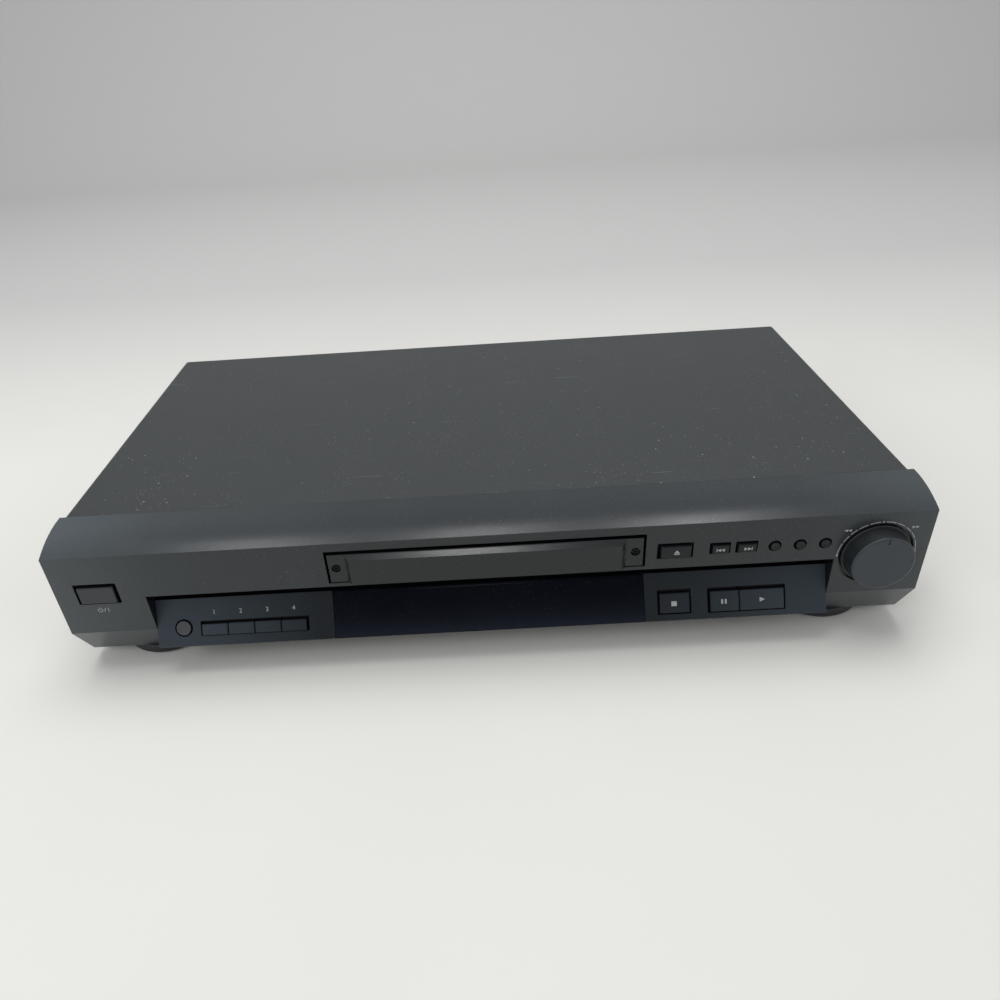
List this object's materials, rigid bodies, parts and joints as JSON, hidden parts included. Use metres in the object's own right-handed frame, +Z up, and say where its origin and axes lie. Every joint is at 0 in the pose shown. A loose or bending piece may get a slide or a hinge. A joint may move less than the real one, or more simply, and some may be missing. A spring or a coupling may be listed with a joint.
{
  "type": "disc player",
  "caption": "Low hi-fi disc player: steel case, arched moulded front with a motor-driven disc tray, tilted lower panel, push buttons and a sprung shuttle dial.",
  "frame": {"origin": "on the shelf under the feet, mid-width and mid-depth of the whole machine (dial face to jack tips)", "axes": "+X to the right seen from the front, -Y out of the front, +Z up"},
  "size_m": [0.43, 0.2434, 0.081],
  "materials": {
    "cover_paint": "matt textured",
    "front_plastic": "satin moulded",
    "lower_plastic": "satin moulded",
    "window_smoked": "polished smoked",
    "black_plastic": "moulded",
    "pad_felt": "soft",
    "zinc_steel": "zinc plated",
    "black_screw": "blacked",
    "tray_plastic": "moulded",
    "pale_acetal": "moulded",
    "board_green": "laminate",
    "board_brown": "paper laminate",
    "parts_black": "moulded",
    "tube_glass": "vacuum display",
    "jack_metal": "plated"
  },
  "bodies": {
    "case": {"base_chassis": "zinc_steel", "top_cover": "cover_paint", "cover_screws": "black_screw", "rear_panel": "zinc_steel", "front_panel": "front_plastic", "lower_panel": "lower_plastic", "display_window": "window_smoked", "foot_front_left": "black_plastic", "foot_front_right": "black_plastic", "foot_rear_left": "black_plastic", "foot_rear_right": "black_plastic", "foot_pads": "pad_felt", "display_tube": "tube_glass", "display_board": "board_green", "control_board": "board_green", "shuttle_encoder": "zinc_steel", "power_switch_board": "board_green", "main_board": "board_green", "main_chips": "parts_black", "power_supply_board": "board_brown", "supply_parts": "parts_black", "jack_block": "black_plastic", "s_video_jack": "black_plastic", "phono_insulators": "black_plastic", "phono_jacks": "jack_metal", "mains_inlet": "black_plastic", "loader_frame": "black_plastic", "clamp_bridge": "zinc_steel", "loading_motor": "zinc_steel", "drive_belt": "pad_felt"},
    "tray": {"disc_tray": "tray_plastic", "tray_front": "front_plastic", "tray_front_screws": "black_screw"},
    "motor_pulley": {"motor_pulley": "black_plastic"},
    "pulley_gear": {"pulley_gear": "black_plastic"},
    "drive_gear": {"drive_gear": "pale_acetal"},
    "cam_slider": {"cam_slider": "pale_acetal"},
    "traverse": {"traverse_frame": "black_plastic", "traverse_motors": "zinc_steel", "guide_rods": "zinc_steel"},
    "lead_screw": {"lead_screw": "zinc_steel"},
    "turntable": {"turntable": "black_plastic"},
    "pickup": {"optical_pickup": "zinc_steel"},
    "clamper": {"clamper": "black_plastic"},
    "shuttle": {"shuttle_knob": "front_plastic"},
    "power_button": {"power_button": "front_plastic"},
    "eject_button": {"eject_button": "front_plastic"},
    "skip_back_button": {"skip_back_button": "front_plastic"},
    "skip_forward_button": {"skip_forward_button": "front_plastic"},
    "random_button": {"random_button": "front_plastic"},
    "repeat_button": {"repeat_button": "front_plastic"},
    "ab_repeat_button": {"ab_repeat_button": "front_plastic"},
    "stop_button": {"stop_button": "front_plastic"},
    "pause_button": {"pause_button": "front_plastic"},
    "play_button": {"play_button": "front_plastic"},
    "memory_button": {"memory_button": "front_plastic"},
    "sound_button_1": {"sound_button_1": "front_plastic"},
    "sound_button_2": {"sound_button_2": "front_plastic"},
    "sound_button_3": {"sound_button_3": "front_plastic"},
    "sound_button_4": {"sound_button_4": "front_plastic"}
  },
  "joints": [
    {"name": "tray_slide", "type": "slide", "parent": "case", "child": "tray", "axis": [0, -1, 0], "range_m": [0, 0.132]},
    {"name": "drive_gear_turn", "type": "hinge", "parent": "case", "child": "drive_gear", "pos_m": [0.049, -0.08085, 0.0532], "axis": [0, 0, -1], "continuous": true},
    {"name": "pulley_gear_turn", "type": "hinge", "parent": "case", "child": "pulley_gear", "pos_m": [0.029, -0.08085, 0.0452], "axis": [0, 0, 1], "continuous": true},
    {"name": "motor_pulley_turn", "type": "hinge", "parent": "case", "child": "motor_pulley", "pos_m": [-0.008, -0.08085, 0.0452], "axis": [0, 0, 1], "continuous": true},
    {"name": "cam_slide", "type": "slide", "parent": "case", "child": "cam_slider", "axis": [1, 0, 0], "range_m": [0, 0.02]},
    {"name": "traverse_lift", "type": "hinge", "parent": "case", "child": "traverse", "pos_m": [0, 0.03715, 0.0475], "axis": [-1, 0, 0], "range_deg": [0, 5.81]},
    {"name": "turntable_spin", "type": "hinge", "parent": "traverse", "child": "turntable", "pos_m": [0, -0.0419, 0.04398], "axis": [0, -0.1013, 0.9949], "continuous": true},
    {"name": "pickup_slide", "type": "slide", "parent": "traverse", "child": "pickup", "axis": [0, 0.9949, 0.1013], "range_m": [0, 0.033]},
    {"name": "lead_screw_turn", "type": "hinge", "parent": "traverse", "child": "lead_screw", "pos_m": [-0.031, -0.01191, 0.04561], "axis": [0, 0.9949, 0.1013], "continuous": true},
    {"name": "clamper_spin", "type": "hinge", "parent": "case", "child": "clamper", "pos_m": [0, -0.04185, 0.0687], "axis": [0, 0, 1], "continuous": true},
    {"name": "shuttle_turn", "type": "hinge", "parent": "case", "child": "shuttle", "pos_m": [0.1902, -0.11285, 0.0508], "axis": [0, -1, 0], "range_deg": [-60, 60], "stiffness_Nm_per_rad": 0.03},
    {"name": "power_button_press", "type": "slide", "parent": "case", "child": "power_button", "axis": [0, 1, 0], "range_m": [0, 0.0006], "stiffness_N_per_m": 800},
    {"name": "eject_button_press", "type": "slide", "parent": "case", "child": "eject_button", "axis": [0, 1, 0], "range_m": [0, 0.0006], "stiffness_N_per_m": 800},
    {"name": "skip_back_button_press", "type": "slide", "parent": "case", "child": "skip_back_button", "axis": [0, 1, 0], "range_m": [0, 0.0006], "stiffness_N_per_m": 800},
    {"name": "skip_forward_button_press", "type": "slide", "parent": "case", "child": "skip_forward_button", "axis": [0, 1, 0], "range_m": [0, 0.0006], "stiffness_N_per_m": 800},
    {"name": "random_button_press", "type": "slide", "parent": "case", "child": "random_button", "axis": [0, 1, 0], "range_m": [0, 0.0006], "stiffness_N_per_m": 800},
    {"name": "repeat_button_press", "type": "slide", "parent": "case", "child": "repeat_button", "axis": [0, 1, 0], "range_m": [0, 0.0006], "stiffness_N_per_m": 800},
    {"name": "ab_repeat_button_press", "type": "slide", "parent": "case", "child": "ab_repeat_button", "axis": [0, 1, 0], "range_m": [0, 0.0006], "stiffness_N_per_m": 800},
    {"name": "stop_button_press", "type": "slide", "parent": "case", "child": "stop_button", "axis": [0, 0.8829, -0.4695], "range_m": [0, 0.0006], "stiffness_N_per_m": 800},
    {"name": "pause_button_press", "type": "slide", "parent": "case", "child": "pause_button", "axis": [0, 0.8829, -0.4695], "range_m": [0, 0.0006], "stiffness_N_per_m": 800},
    {"name": "play_button_press", "type": "slide", "parent": "case", "child": "play_button", "axis": [0, 0.8829, -0.4695], "range_m": [0, 0.0006], "stiffness_N_per_m": 800},
    {"name": "memory_button_press", "type": "slide", "parent": "case", "child": "memory_button", "axis": [0, 0.8829, -0.4695], "range_m": [0, 0.0006], "stiffness_N_per_m": 800},
    {"name": "sound_button_1_press", "type": "slide", "parent": "case", "child": "sound_button_1", "axis": [0, 0.8829, -0.4695], "range_m": [0, 0.0006], "stiffness_N_per_m": 800},
    {"name": "sound_button_2_press", "type": "slide", "parent": "case", "child": "sound_button_2", "axis": [0, 0.8829, -0.4695], "range_m": [0, 0.0006], "stiffness_N_per_m": 800},
    {"name": "sound_button_3_press", "type": "slide", "parent": "case", "child": "sound_button_3", "axis": [0, 0.8829, -0.4695], "range_m": [0, 0.0006], "stiffness_N_per_m": 800},
    {"name": "sound_button_4_press", "type": "slide", "parent": "case", "child": "sound_button_4", "axis": [0, 0.8829, -0.4695], "range_m": [0, 0.0006], "stiffness_N_per_m": 800}
  ],
  "couplings": [
    {"joint": "drive_gear_turn", "follows": "tray_slide", "rad_per_m": 111.11},
    {"joint": "pulley_gear_turn", "follows": "tray_slide", "rad_per_m": 259.26},
    {"joint": "motor_pulley_turn", "follows": "tray_slide", "rad_per_m": 1166.7},
    {"joint": "traverse_lift", "follows": "cam_slide", "rad_per_m": 5.072},
    {"joint": "lead_screw_turn", "follows": "pickup_slide", "rad_per_m": 2992}
  ]
}
